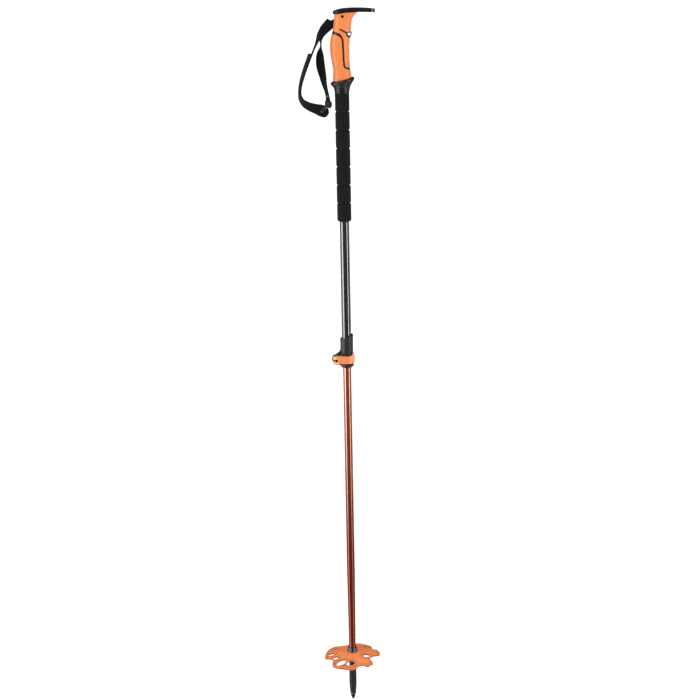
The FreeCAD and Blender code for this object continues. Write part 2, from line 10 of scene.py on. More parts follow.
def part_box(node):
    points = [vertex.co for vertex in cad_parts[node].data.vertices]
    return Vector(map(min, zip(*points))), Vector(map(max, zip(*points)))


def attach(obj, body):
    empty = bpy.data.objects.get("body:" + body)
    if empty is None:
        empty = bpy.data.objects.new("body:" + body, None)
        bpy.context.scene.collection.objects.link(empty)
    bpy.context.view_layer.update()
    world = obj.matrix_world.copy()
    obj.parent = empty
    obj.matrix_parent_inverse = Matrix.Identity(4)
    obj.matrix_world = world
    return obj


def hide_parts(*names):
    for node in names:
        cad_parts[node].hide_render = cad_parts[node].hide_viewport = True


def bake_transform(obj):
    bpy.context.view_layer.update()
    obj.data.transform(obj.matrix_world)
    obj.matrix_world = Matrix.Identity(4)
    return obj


# Looks of the touring ski pole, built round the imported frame. +Z is up the shaft, +X along the hook
# plate. Meshes are worked out in millimetres and turn into metres through MM; the stage and the
# materials are in metres.

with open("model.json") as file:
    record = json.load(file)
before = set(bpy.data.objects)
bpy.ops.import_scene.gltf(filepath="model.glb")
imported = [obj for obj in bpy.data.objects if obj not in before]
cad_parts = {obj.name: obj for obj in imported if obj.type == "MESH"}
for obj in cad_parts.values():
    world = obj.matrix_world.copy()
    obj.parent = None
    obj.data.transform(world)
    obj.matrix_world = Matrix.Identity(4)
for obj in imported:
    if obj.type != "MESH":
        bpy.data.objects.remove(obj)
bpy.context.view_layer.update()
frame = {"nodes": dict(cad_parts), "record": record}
MM = 0.001


def node_box(name):
    """Box of a CAD node, in millimetres."""
    low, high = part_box(name)
    return np.array(low) / MM, np.array(high) / MM


def tint(colour, factor, lift=0.0):
    """Colour made darker or paler by a factor and a lift, kept within range."""
    return [min(1, c * factor + lift) for c in colour]


# ---------------------------------------------------------------- node graphs

class Graph:
    """Small helper that builds one material's node graph."""

    def __init__(self, name):
        self.material = bpy.data.materials.new(name)
        self.material.use_nodes = True
        self.tree = self.material.node_tree
        self.shader = self.tree.nodes["Principled BSDF"]

    def node(self, kind, **settings):
        made = self.tree.nodes.new("ShaderNode" + kind)
        for key, value in settings.items():
            setattr(made, key, value)
        return made

    def plug(self, target, key, value):
        """Links a socket to the target's input, or sets the input's own value."""
        socket = target.inputs[key]
        if isinstance(value, bpy.types.NodeSocket):
            self.tree.links.new(value, socket)
        elif hasattr(socket.default_value, "__len__") and len(socket.default_value) == 4:
            socket.default_value = (*value[:3], 1.0)
        else:
            socket.default_value = value

    def set(self, **values):
        """Inputs of the material's own shader, with _ for each space in their names."""
        for key, value in values.items():
            self.plug(self.shader, key.replace("_", " "), value)

    def place(self, scale=(1, 1, 1), source="Object"):
        """Coordinates of the piece, in metres, stretched by scale."""
        start = self.node("TexCoord").outputs[source]
        mapping = self.node("Mapping")
        self.plug(mapping, "Vector", start)
        mapping.inputs["Scale"].default_value = scale
        return mapping.outputs["Vector"]

    def spot(self):
        """X, Y and Z of the point, in metres."""
        parts = self.node("SeparateXYZ")
        self.plug(parts, "Vector", self.node("TexCoord").outputs["Object"])
        return parts.outputs

    def noise(self, place, scale, detail=3.0, rough=0.55):
        made = self.node("TexNoise")
        self.plug(made, "Vector", place)
        self.plug(made, "Scale", scale)
        self.plug(made, "Detail", detail)
        self.plug(made, "Roughness", rough)
        return made.outputs["Fac"]

    def cells(self, place, scale, feature="F1"):
        made = self.node("TexVoronoi", feature=feature)
        self.plug(made, "Vector", place)
        self.plug(made, "Scale", scale)
        return made.outputs["Distance"]

    def spread(self, value, low, high, to_low, to_high):
        """Maps low..high to to_low..to_high, and holds the ends."""
        made = self.node("MapRange")
        for key, item in (("Value", value), ("From Min", low), ("From Max", high), ("To Min", to_low),
                          ("To Max", to_high)):
            self.plug(made, key, item)
        return made.outputs["Result"]

    def sums(self, operation, a, b):
        made = self.node("Math", operation=operation)
        self.plug(made, 0, a)
        self.plug(made, 1, b)
        return made.outputs["Value"]

    def mix(self, factor, a, b):
        """Colour a at factor 0 and colour b at factor 1."""
        made = self.node("Mix", data_type="RGBA")
        for index, item in ((0, factor), (6, a), (7, b)):
            self.plug(made, index, item)
        return made.outputs[2]

    def shades(self, value, colour, darker, paler, low=0.3, high=0.7):
        """Drifts between two shades of one colour."""
        return self.mix(self.spread(value, low, high, 0.0, 1.0), tint(colour, darker), tint(colour, paler))

    def uneven(self, place, scale, low, high):
        """Roughness that wanders between two values."""
        return self.spread(self.noise(place, scale, 4, 0.6), 0.3, 0.7, low, high)

    def bump(self, height, strength, distance, below=None):
        made = self.node("Bump")
        self.plug(made, "Height", height)
        self.plug(made, "Strength", strength)
        self.plug(made, "Distance", distance)
        if below is not None:
            self.plug(made, "Normal", below)
        return made.outputs["Normal"]

    def worn_edges(self, low=0.52, high=0.62):
        """0 on flat ground, 1 on sharp outer edges."""
        return self.spread(self.node("NewGeometry").outputs["Pointiness"], low, high, 0.0, 1.0)


# ---------------------------------------------------------------- camera, floor and light

CAMERA_PLACE = (0.0055, -2.675, 1.5205)
CAMERA_LENS = 83.3
# Degrees below level, and round the line of sight.
CAMERA_DOWN = 17.5
CAMERA_ROLL = -1.04

# The floor lies just under the tip when the pole is at its longest.
FLOOR_Z = -0.195
FLOOR_HALF = 40.0
FLOOR_TONE = 0.97
FLOOR_GLOW = 0.13

# Sun lamps: (name, direction of the light, power, size in the sky in degrees).
SUNS = [("key", (1.0, 1.3, -1.5), 0.4, 35), ("glint_left", (0.42, 0.86, -0.2), 0.07, 7),
        ("glint_right", (-0.5, 0.86, -0.2), 0.07, 7)]

# The reflection cage, in metres. Its strips: (degrees round Z, half width in degrees, level).
CAGE_R = 0.16
CAGE_TOP = 1.42
CAGE_SIDES = 72
STRIPS = [(-147, 2.8, 0.97), (-32, 3.6, 1.0), (26, 7, 0.2), (154, 7, 0.2)]
STRIP_FADE = 4
CAGE_DIM = 0.012
CAGE_POWER = 4.9
# Below the first height the cage has only this share of its power; from the second it has all of it.
CAGE_FOOT = 0.32
CAGE_FADE_FROM = 0.24
CAGE_FADE_TO = 0.57


def make_camera():
    """Long lens, above the pole and looking down at it, with a slight roll."""
    data = bpy.data.cameras.new("camera")
    data.sensor_width = 36
    data.lens = CAMERA_LENS
    data.clip_end = 100
    cam = bpy.data.objects.new("camera", data)
    bpy.context.scene.collection.objects.link(cam)
    cam.location = CAMERA_PLACE
    tilt = Matrix.Rotation(math.radians(90 - CAMERA_DOWN), 4, "X")
    turn = tilt @ Matrix.Rotation(math.radians(CAMERA_ROLL), 4, "Z")
    cam.matrix_world = Matrix.Translation(cam.location) @ turn
    bpy.context.scene.camera = cam


def floor_finish():
    """Matt colour for the floor, lit a little from below like a light table."""
    g = Graph("pale_floor")
    g.set(Base_Color=(FLOOR_TONE, FLOOR_TONE, FLOOR_TONE), Roughness=1.0, Specular_IOR_Level=0.0)
    g.set(Emission_Color=(1, 1, 1), Emission_Strength=FLOOR_GLOW)
    return g.material


def cage_finish():
    """Glow of the cage: two tall bright strips ahead, two weak ones behind, dim between."""
    g = Graph("cage_glow")
    g.tree.nodes.clear()
    spot = g.spot()
    glow = g.node("ValToRGB")
    g.plug(glow, 0, g.spread(g.sums("ARCTAN2", spot["Y"], spot["X"]), -math.pi, math.pi, 0.0, 1.0))
    bands = glow.color_ramp
    bands.interpolation = "LINEAR"
    while len(bands.elements) > 1:
        bands.elements.remove(bands.elements[-1])
    stops = []
    for middle, half, level in STRIPS:
        stops += [(middle - half - STRIP_FADE, CAGE_DIM), (middle - half, level), (middle + half, level),
                  (middle + half + STRIP_FADE, CAGE_DIM)]
    # The first strip fades out slowly, as far as the -X side.
    stops[0] = (-180, CAGE_DIM)
    for index, (degrees, level) in enumerate(stops):
        place = (degrees + 180) / 360
        stop = bands.elements.new(place) if index else bands.elements[0]
        stop.position = place
        stop.color = (level, level, level, 1)
    share = g.spread(spot["Z"], CAGE_FADE_FROM, CAGE_FADE_TO, CAGE_FOOT, 1.0)
    shine = g.node("Emission")
    g.plug(shine, "Color", glow.outputs[0])
    g.plug(shine, "Strength", g.sums("MULTIPLY", share, CAGE_POWER))
    g.plug(g.node("OutputMaterial"), 0, shine.outputs[0])
    return g.material


def stage_mesh(name, points, faces, material):
    """Plain object of the stage, from points in metres."""
    mesh = bpy.data.meshes.new(name)
    mesh.from_pydata(points, [], faces)
    mesh.materials.append(material)
    obj = bpy.data.objects.new(name, mesh)
    bpy.context.scene.collection.objects.link(obj)
    return obj


def make_cage():
    """Studio light tent close round the pole, which only reflections see."""
    angles = [2 * math.pi * k / CAGE_SIDES for k in range(CAGE_SIDES)]
    ring = [(CAGE_R * math.cos(a), CAGE_R * math.sin(a)) for a in angles]
    points = [(x, y, z) for z in (FLOOR_Z + 0.5 * MM, CAGE_TOP) for x, y in ring]
    faces = grid_faces(2, CAGE_SIDES)
    faces += [tuple(range(CAGE_SIDES)), tuple(range(CAGE_SIDES, 2 * CAGE_SIDES))]
    cage = stage_mesh("cage", points, faces, cage_finish())
    cage.visible_camera = False
    cage.visible_diffuse = False
    cage.visible_shadow = False
    cage.visible_transmission = False


def make_stage():
    """White sky, pale floor, reflection cage and the sun lamps."""
    scene = bpy.context.scene
    scene.view_settings.view_transform = "Standard"
    scene.view_settings.look = "None"
    world = bpy.data.worlds.new("studio")
    world.use_nodes = True
    world.node_tree.nodes["Background"].inputs["Color"].default_value = (1, 1, 1, 1)
    world.node_tree.nodes["Background"].inputs["Strength"].default_value = 1.0
    scene.world = world
    corners = [(x * FLOOR_HALF, y * FLOOR_HALF, FLOOR_Z) for x, y in ((-1, -1), (1, -1), (1, 1), (-1, 1))]
    floor = stage_mesh("floor", corners, [(0, 1, 2, 3)], floor_finish())
    make_cage()
    for name, aim, power, width in SUNS:
        light = bpy.data.lights.new(name, "SUN")
        light.energy = power
        light.angle = math.radians(width)
        lamp = bpy.data.objects.new(name, light)
        lamp.rotation_euler = Vector(aim).to_track_quat("-Z", "Y").to_euler()
        scene.collection.objects.link(lamp)


# ---------------------------------------------------------------- materials

# Noise scales, in cells a metre: fine grain of moulded skins, and patches of their gloss.
GRAIN = 1200
GLOSS_PATCH = 180
# Depths of bumps, in metres.
GRAIN_DEPTH = 0.04 * MM
DRAW_DEPTH = 0.02 * MM

# Basket: colours of its painted shade in the creases and of its painted highlight on the beads.
CREASE_SHADE_COLOUR = (0.36, 0.035, 0.012)
BEAD_HIGHLIGHT_COLOUR = (1.0, 0.40, 0.14)

# Ferrule's cone: painted highlights, as pale stripes (flutes) round it, and their faint start and end
# above the cone's foot, in metres.
CONE_FLUTES = 10
CONE_PHASE = 1.1
FLUTE_HIGHLIGHT_COLOUR = (0.55, 0.55, 0.58)
FLUTE_START = (1.5 * MM, 3 * MM)
FLUTE_END = (5.5 * MM, 7.5 * MM)

# Lever: painted highlights on its paler ends, and painted shade round the screw's access hole: radius and
# distance of its middle from the screw's middle, in millimetres.
LEVER_LEFT_HIGHLIGHT = (0.98, 0.50, 0.22)
LEVER_RIGHT_HIGHLIGHT = (0.86, 0.41, 0.26)
LEVER_WORN = (0.97, 0.42, 0.2)
LEVER_HOLE_SHADE = (0.05, 0.004, 0.002)
HOLE_SHADE_R = 2.3
HOLE_OFF_SCREW = 1.0

# Hook plate's end piece: where the painted highlight along its seam begins and ends to fade, in metres from
# seam_x.
SEAM_HIGHLIGHT_COLOUR = (0.62, 0.50, 0.48)
SEAM_END = (0.6 * MM, 1.1 * MM)


def anodised(name, colour, metal, rough, streak, coat, coat_ior, edge_tint, pale=None):
    """Drawn aluminium tube, anodised: fine lines along the tube, faint blotches and a few scuffs.

    pale is (colour, from height, to height): painted highlight, the colour turning paler towards the second
    height.
    """
    g = Graph(name)
    lines = g.noise(g.place((1, 1, 0.012)), 2600, 4, 0.6)
    blotch = g.noise(g.place((1, 1, 0.3)), 60, 3, 0.5)
    scuff = g.spread(g.noise(g.place((1, 1, 0.25)), 420, 6, 0.75), 0.66, 0.74, 0.0, 1.0)
    tone = g.shades(blotch, colour, 0.96, 1.04)
    tone = g.mix(g.sums("MULTIPLY", g.spread(lines, 0.4, 0.7, 0.0, 1.0), streak), tone, tint(colour, 0.75))
    # Painted highlight: the tube turns paler towards its top.
    if pale:
        painted_light_tone, start, end = pale
        tone = g.mix(g.spread(g.spot()["Z"], start, end, 0.0, 1.0), tone, painted_light_tone)
    worn = g.mix(g.sums("MULTIPLY", scuff, 0.12), tone, tint(colour, 1.25, 0.02))
    g.set(Base_Color=worn, Metallic=metal, Roughness=g.spread(lines, 0.3, 0.7, rough - 0.03, rough + 0.04))
    g.set(Normal=g.bump(lines, 0.04, DRAW_DEPTH), Coat_Weight=coat, Coat_Roughness=0.09, Coat_IOR=coat_ior)
    g.set(Specular_Tint=edge_tint)
    return g.material


def moulded(name, colour, rough, grain=0.25, grain_scale=1400, edge=0.25, wander=0.05, shine=0.5):
    """Injection-moulded plastic: fine spark-eroded grain, slow shade changes, paler worn edges."""
    g = Graph(name)
    place = g.place()
    tone = g.shades(g.noise(place, 45, 3, 0.5), colour, 0.95, 1.05)
    patches = g.spread(g.noise(place, 260, 5, 0.7), 0.4, 0.65, 0.2, 1.0)
    worn = g.sums("MULTIPLY", g.sums("MULTIPLY", g.worn_edges(), patches), edge)
    g.set(Base_Color=g.mix(worn, tone, tint(colour, 1.25, 0.03)))
    g.set(Roughness=g.uneven(place, GLOSS_PATCH, rough - wander, rough + wander))
    g.set(Normal=g.bump(g.noise(place, grain_scale, 4, 0.6), grain, GRAIN_DEPTH), Specular_IOR_Level=shine)
    return g.material


def basket_plastic(name, colour, rough):
    """Moulded plastic with painted shade in the creases and painted highlight on the beads that follow the
    basket's edges.
    """
    g = Graph(name)
    place = g.place()
    split = g.node("SeparateXYZ")
    g.plug(split, "Vector", g.node("Attribute", attribute_name="relief").outputs["Vector"])
    crease_shade, bead = split.outputs["X"], split.outputs["Y"]
    tone = g.shades(g.noise(place, 34, 3, 0.5), colour, 0.88, 1.08, 0.35, 0.65)
    # Painted shade in the creases, painted highlight on the beads.
    tone = g.mix(g.sums("MULTIPLY", crease_shade, 0.95), tone, CREASE_SHADE_COLOUR)
    tone = g.mix(g.sums("MULTIPLY", bead, 0.7), tone, BEAD_HIGHLIGHT_COLOUR)
    g.set(Base_Color=tone, Roughness=g.uneven(place, GLOSS_PATCH, rough - 0.05, rough + 0.05))
    g.set(Normal=g.bump(g.noise(place, GRAIN, 4, 0.6), 0.2, GRAIN_DEPTH), Specular_IOR_Level=0.6)
    return g.material


def ferrule_plastic(name, colour, cone_from):
    """Black nylon, satin below; the cone above cone_from, in metres, is glossy with pale stripes of painted
    highlight.
    """
    g = Graph(name)
    place = g.place()
    spot = g.spot()
    cone = g.spread(spot["Z"], cone_from - 0.5 * MM, cone_from + 0.5 * MM, 0.0, 1.0)
    mottle = g.spread(g.noise(place, 600, 4, 0.6), 0.3, 0.7, 0.0, 1.0)
    # Painted highlight: pale stripes round the cone, standing in for glints.
    turn = g.sums("ARCTAN2", spot["Y"], spot["X"])
    wave = g.sums("SINE", g.sums("ADD", g.sums("MULTIPLY", turn, CONE_FLUTES), CONE_PHASE), 0.0)
    above = g.spread(spot["Z"], cone_from + FLUTE_START[0], cone_from + FLUTE_START[1], 0.0, 1.0)
    below = g.spread(spot["Z"], cone_from + FLUTE_END[0], cone_from + FLUTE_END[1], 1.0, 0.0)
    glint_crest = g.sums("MULTIPLY", g.spread(wave, 0.6, 0.95, 0.0, 0.55), g.sums("MULTIPLY", above, below))
    g.set(Base_Color=g.mix(glint_crest, g.mix(mottle, colour, tint(colour, 1.2)), FLUTE_HIGHLIGHT_COLOUR))
    g.set(Roughness=g.sums("ADD", g.spread(cone, 0.0, 1.0, 0.44, 0.16), g.sums("MULTIPLY", mottle, 0.03)))
    g.set(Normal=g.bump(g.noise(place, 1500, 4, 0.6), 0.05, 0.03 * MM), Specular_IOR_Level=0.75)
    g.set(Coat_Weight=cone, Coat_Roughness=0.12, Coat_IOR=2.5)
    return g.material


def lever_plastic(name, colour, low_x, high_x, hole_x, hole_z):
    """Glossy moulded plastic with painted highlights at both ends of the lever and painted shade round the
    screw's access hole.
    """
    g = Graph(name)
    place = g.place()
    spot = g.spot()
    # Painted highlights: both ends of the lever turn paler.
    left = g.spread(spot["X"], low_x + 4 * MM, low_x + 12 * MM, 0.75, 0.0)
    right = g.spread(spot["X"], high_x - 9 * MM, high_x - 2 * MM, 0.0, 0.7)
    tone = g.shades(g.noise(place, 90, 3, 0.5), colour, 0.94, 1.06)
    tone = g.mix(left, tone, LEVER_LEFT_HIGHLIGHT)
    tone = g.mix(right, tone, LEVER_RIGHT_HIGHLIGHT)
    tone = g.mix(g.sums("MULTIPLY", g.worn_edges(), 0.3), tone, LEVER_WORN)
    # Painted shade: dark round the screw's access hole.
    across = g.sums("SUBTRACT", spot["X"], hole_x)
    upwards = g.sums("SUBTRACT", spot["Z"], hole_z)
    square = g.sums("ADD", g.sums("MULTIPLY", across, across), g.sums("MULTIPLY", upwards, upwards))
    shade = g.spread(g.sums("POWER", square, 0.5), HOLE_SHADE_R * MM, (HOLE_SHADE_R + 0.5) * MM, 0.97, 0.0)
    g.set(Base_Color=g.mix(shade, tone, LEVER_HOLE_SHADE), Roughness=g.uneven(place, GLOSS_PATCH, 0.34, 0.42))
    g.set(Normal=g.bump(g.noise(place, GRAIN, 4, 0.6), 0.2, GRAIN_DEPTH), Specular_IOR_Level=0.9)
    return g.material


def scraper_plastic(name, colour, seam_x):
    """Hard black plastic with a red tint, and a pale line of painted highlight where it meets the plate."""
    g = Graph(name)
    place = g.place()
    # Painted highlight: a pale line along the seam.
    line = g.spread(g.spot()["X"], seam_x + SEAM_END[0], seam_x + SEAM_END[1], 1.0, 0.0)
    tone = g.shades(g.noise(place, 700, 4, 0.6), colour, 1.0, 1.6)
    g.set(Base_Color=g.mix(line, tone, SEAM_HIGHLIGHT_COLOUR), Roughness=0.34)
    g.set(Normal=g.bump(g.noise(place, 1500, 3, 0.6), 0.1, 0.03 * MM))
    return g.material


def soft_rubber(name, colour, pebbled_from):
    """Soft-touch rubber; above the given height, in metres, its skin has a pebbled grain."""
    g = Graph(name)
    place = g.place()
    tone = g.shades(g.noise(place, 40, 3, 0.5), colour, 0.96, 1.04)
    rubbed = g.sums("MULTIPLY", g.worn_edges(0.51, 0.58), 0.18)
    g.set(Base_Color=g.mix(rubbed, tone, tint(colour, 1.15, 0.04)))
    zone = g.spread(g.spot()["Z"], pebbled_from - 4 * MM, pebbled_from + 3 * MM, 0.06, 1.0)
    pebbles = g.sums("MULTIPLY", g.cells(place, 950, "SMOOTH_F1"), zone)
    ground = g.bump(g.noise(place, 2200, 3, 0.6), 0.12, 0.03 * MM)
    g.set(Normal=g.bump(pebbles, 0.55, 0.16 * MM, ground), Roughness=g.uneven(place, 300, 0.36, 0.44))
    g.set(Sheen_Weight=0.08, Sheen_Roughness=0.5, Specular_IOR_Level=0.7)
    return g.material


def closed_cell_foam(name, dark, pale):
    """Foam with fine pores, between two near-black shades."""
    g = Graph(name)
    place = g.place()
    skin = g.noise(place, 700, 5, 0.65)
    g.set(Base_Color=g.mix(g.spread(skin, 0.35, 0.65, 0.0, 1.0), dark, pale))
    g.set(Normal=g.bump(g.cells(place, 1500), 0.5, 0.18 * MM, g.bump(skin, 0.35, 0.3 * MM)))
    g.set(Roughness=0.92, Specular_IOR_Level=0.1, Sheen_Weight=0.03, Sheen_Roughness=0.6)
    return g.material


def webbing(name, colour, rib_mm, rib_depth):
    """Woven tape. UV holds millimetres across and along the tape."""
    g = Graph(name)
    uv = g.place((1, 1, 1), "UV")

    def threads(direction, pitch, distortion):
        """Bands of thread, one in each pitch millimetres: Blender's bands repeat every pi / 10."""
        wave = g.node("TexWave", wave_type="BANDS", bands_direction=direction, wave_profile="SIN")
        g.plug(wave, "Vector", uv)
        g.plug(wave, "Scale", 0.314 / pitch)
        g.plug(wave, "Distortion", distortion)
        return wave

    ribs = threads("Y", rib_mm, 0.6)
    g.plug(ribs, "Detail Scale", 2.0)
    yarns = threads("X", rib_mm * 1.6, 0.4)
    weave = g.sums("ADD", g.sums("MULTIPLY", ribs.outputs["Fac"], 0.65),
                   g.sums("MULTIPLY", yarns.outputs["Fac"], 0.35))
    fuzz = g.noise(uv, 6.0, 5, 0.7)
    tone = g.shades(weave, colour, 0.45, 1.5, 0.15, 0.85)
    g.set(Base_Color=g.mix(g.spread(fuzz, 0.5, 0.75, 0.0, 0.5), tone, tint(colour, 2.1)))
    g.set(Normal=g.bump(fuzz, 0.25, 0.1 * MM, g.bump(weave, 0.8, rib_depth * MM)))
    g.set(Roughness=0.82, Specular_IOR_Level=0.1, Sheen_Weight=0.03, Sheen_Roughness=0.45)
    return g.material


def turned_metal(name, colour, rough, bright_from=None, bright=None):
    """Turned metal. Above the height bright_from, in metres, it is bare and bright."""
    g = Graph(name)
    rings = g.noise(g.place((0.05, 0.05, 1)), 5200, 3, 0.6)
    spots = g.noise(g.place(), 500, 5, 0.7)
    tone = g.mix(g.spread(spots, 0.45, 0.7, 0.0, 0.5), colour, tint(colour, 0.6))
    if bright:
        bare = g.spread(g.spot()["Z"], bright_from - 0.3 * MM, bright_from + 0.3 * MM, 0.0, 1.0)
        tone = g.mix(bare, tone, bright)
    tone = g.mix(g.sums("MULTIPLY", g.worn_edges(), 0.6), tone, tint(colour, 1.8, 0.1))
    g.set(Base_Color=tone, Metallic=1.0, Roughness=g.spread(spots, 0.3, 0.7, rough - 0.06, rough + 0.1))
    g.set(Normal=g.bump(rings, 0.12, DRAW_DEPTH))
    return g.material


def make_materials():
    """All finishes. The CAD nodes look theirs up by their material slot."""
    lever_low, lever_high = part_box("lock_lever")
    screw = (Vector(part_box("tension_screw")[0]) + Vector(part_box("tension_screw")[1])) / 2
    finishes = {
        "orange_rubber": (soft_rubber, dict(colour=(0.85, 0.222, 0.041), pebbled_from=1.2262)),
        "orange_plastic": (moulded, dict(colour=(0.85, 0.215, 0.052), rough=0.4, grain=0.2, grain_scale=1200,
                                         edge=0.35, shine=0.9)),
        "lever_orange": (lever_plastic, dict(colour=(0.85, 0.225, 0.04), low_x=lever_low[0],
                                             high_x=lever_high[0], hole_x=screw[0] + HOLE_OFF_SCREW * MM,
                                             hole_z=screw[2])),
        "ferrule": (ferrule_plastic, dict(colour=(0.013, 0.013, 0.0138), cone_from=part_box("basket")[1][2])),
        "basket_orange": (basket_plastic, dict(colour=(0.89, 0.248, 0.06), rough=0.42)),
        "black_plastic": (moulded, dict(colour=(0.009, 0.0088, 0.0092), rough=0.36, grain_scale=1500,
                                        edge=0.2)),
        "gloss_black": (moulded, dict(colour=(0.008, 0.008, 0.0086), rough=0.5, grain=0.05, grain_scale=1500,
                                      edge=0.1, wander=0.03, shine=0.75)),
        "neck_black": (moulded, dict(colour=(0.0065, 0.0065, 0.007), rough=0.4, grain=0.05, grain_scale=1500,
                                     edge=0.1, wander=0.03, shine=0.6)),
        "matt_black": (moulded, dict(colour=(0.0065, 0.006, 0.0064), rough=0.45, grain_scale=1300, edge=0.2,
                                     shine=0.35)),
        "scraper": (scraper_plastic, dict(colour=(0.020, 0.009, 0.009),
                                          seam_x=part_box("scraper_insert")[0][0] + 6 * MM)),
        "inner_plastic": (moulded, dict(colour=(0.05, 0.05, 0.055), rough=0.5)),
        "upper_anodised": (anodised, dict(colour=(0.205, 0.208, 0.212), metal=0.95, rough=0.17, streak=0.15,
                                          coat=0.5, coat_ior=1.5, edge_tint=(1, 1, 1))),
        # The lower tube turns paler higher up: painted highlight.
        "lower_anodised": (anodised, dict(colour=(0.50, 0.06, 0.014), metal=0.82, rough=0.18, streak=0.10,
                                          coat=1.0, coat_ior=2.0, edge_tint=(1.0, 0.42, 0.3),
                                          pale=((0.62, 0.22, 0.12), 0.26, 0.65))),
        "steel": (turned_metal, dict(colour=(0.30, 0.30, 0.31), rough=0.3)),
        "dark_steel": (turned_metal, dict(colour=(0.035, 0.033, 0.033), rough=0.4)),
        "tip_metal": (turned_metal, dict(colour=(0.05, 0.05, 0.052), rough=0.3, bright_from=9.2 * MM,
                                         bright=(0.6, 0.6, 0.61))),
        "carbide": (turned_metal, dict(colour=(0.055, 0.055, 0.06), rough=0.42)),
        "foam": (closed_cell_foam, dict(dark=(0.0055, 0.0053, 0.0055), pale=(0.0115, 0.011, 0.0115))),
        "webbing": (webbing, dict(colour=(0.0062, 0.0062, 0.0072), rib_mm=0.9, rib_depth=0.22)),
        "pad": (webbing, dict(colour=(0.0052, 0.0052, 0.006), rib_mm=0.7, rib_depth=0.12)),
        "thread": (moulded, dict(colour=(0.035, 0.035, 0.038), rough=0.7, grain=0.4, grain_scale=4000,
                                 edge=0.0)),
        "pale_thread": (moulded, dict(colour=(0.17, 0.17, 0.175), rough=0.7, grain=0.4, grain_scale=4000,
                                      edge=0.0)),
    }
    return {name: make(name, **settings) for name, (make, settings) in finishes.items()}


# ---------------------------------------------------------------- mesh helpers

# Distances, in metres, under which points are merged: in a finished piece, and in a copy of a CAD node.
MERGE = 1e-7
WELD = 1e-6
# Angles, in degrees, from which an edge stays crisp: in pieces made here, moulded copies, edged copies.
CRISP = 38
MOULDED_CRISP = 50
EDGED_CRISP = 32


def weld(bm, distance):
    """Merges points that lie closer together than the distance, in metres."""
    bmesh.ops.remove_doubles(bm, verts=bm.verts, dist=distance)


def finish_mesh(obj, sharp_degrees=CRISP):
    """Points the faces outwards and shades smooth, with crisp edges kept crisp."""
    bm = bmesh.new()
    bm.from_mesh(obj.data)
    weld(bm, MERGE)
    bmesh.ops.recalc_face_normals(bm, faces=bm.faces)
    limit = math.radians(sharp_degrees)
    for face in bm.faces:
        face.smooth = True
    for edge in bm.edges:
        edge.smooth = len(edge.link_faces) == 2 and edge.calc_face_angle(0) < limit
    bm.to_mesh(obj.data)
    bm.free()
    obj.data.update()


def new_piece(name, points, faces, material, uv=None, sharp_degrees=CRISP):
    """Piece from points in millimetres. uv holds a pair of numbers for each point."""
    mesh = bpy.data.meshes.new(name)
    mesh.from_pydata((np.asarray(points) * MM).tolist(), [], faces)
    if uv is not None:
        layer = mesh.uv_layers.new(name="UVMap")
        loops = np.zeros(len(mesh.loops), np.int32)
        mesh.loops.foreach_get("vertex_index", loops)
        layer.data.foreach_set("uv", np.asarray(uv, np.float32)[loops].ravel())
    obj = bpy.data.objects.new(name, mesh)
    bpy.context.scene.collection.objects.link(obj)
    mesh.materials.append(material)
    finish_mesh(obj, sharp_degrees)
    return obj


def grid_faces(rings, cols, wrap_rings=False):
    """Faces between closed rings of points. wrap_rings also joins the last ring to the first."""
    faces = []
    for i in range(rings if wrap_rings else rings - 1):
        for j in range(cols):
            a = i * cols + j
            b = i * cols + (j + 1) % cols
            c = ((i + 1) % rings) * cols + (j + 1) % cols
            d = ((i + 1) % rings) * cols + j
            faces.append((a, b, c, d))
    return faces


def smooth_line(points, steps):
    """Catmull-Rom curve through the points, steps per span."""
    p = np.asarray(points, float)
    p = np.vstack([2 * p[0] - p[1], p, 2 * p[-1] - p[-2]])
    out = []
    for k in range(1, len(p) - 2):
        for t in np.arange(steps) / steps:
            out.append(0.5 * (2 * p[k] + (p[k + 1] - p[k - 1]) * t
                              + (2 * p[k - 1] - 5 * p[k] + 4 * p[k + 1] - p[k + 2]) * t * t
                              + (3 * p[k] - p[k - 1] - 3 * p[k + 1] + p[k + 2]) * t ** 3))
    out.append(p[-2])
    return np.array(out)


def welded_copy(node, name, material):
    """Free copy of a CAD node's mesh, as a new piece, with its split corners welded."""
    mesh = frame["nodes"][node].data.copy()
    mesh.name = name
    mesh.materials.clear()
    mesh.materials.append(material)
    obj = bpy.data.objects.new(name, mesh)
    bpy.context.scene.collection.objects.link(obj)
    bm = bmesh.new()
    bm.from_mesh(mesh)
    weld(bm, WELD)
    bm.to_mesh(mesh)
    bm.free()
    return obj


def apply_modifiers(obj):
    """Turns the object's mesh into what its modifiers make of it."""
    graph = bpy.context.evaluated_depsgraph_get()
    made = bpy.data.meshes.new_from_object(obj.evaluated_get(graph))
    obj.modifiers.clear()
    obj.data = made


def moulded_copy(node, name, material, voxel, rounds):
    """Copy of a CAD node with softly rounded, moulded edges. voxel is in millimetres."""
    obj = welded_copy(node, name, material)
    remesh = obj.modifiers.new("remesh", "REMESH")
    remesh.mode = "VOXEL"
    remesh.voxel_size = voxel * MM
    smooth = obj.modifiers.new("smooth", "SMOOTH")
    smooth.factor = 0.5
    smooth.iterations = rounds
    apply_modifiers(obj)
    obj.data.materials.clear()
    obj.data.materials.append(material)
    finish_mesh(obj, MOULDED_CRISP)
    return obj


def edged_copy(node, name, material, radius):
    """Copy of a CAD node with small rounds on its sharp edges. radius is in millimetres."""
    obj = welded_copy(node, name, material)
    bevel = obj.modifiers.new("bevel", "BEVEL")
    bevel.limit_method = "ANGLE"
    bevel.angle_limit = math.radians(EDGED_CRISP)
    bevel.width = radius * MM
    bevel.segments = 3
    bevel.use_clamp_overlap = True
    apply_modifiers(obj)
    finish_mesh(obj, EDGED_CRISP)
    return obj


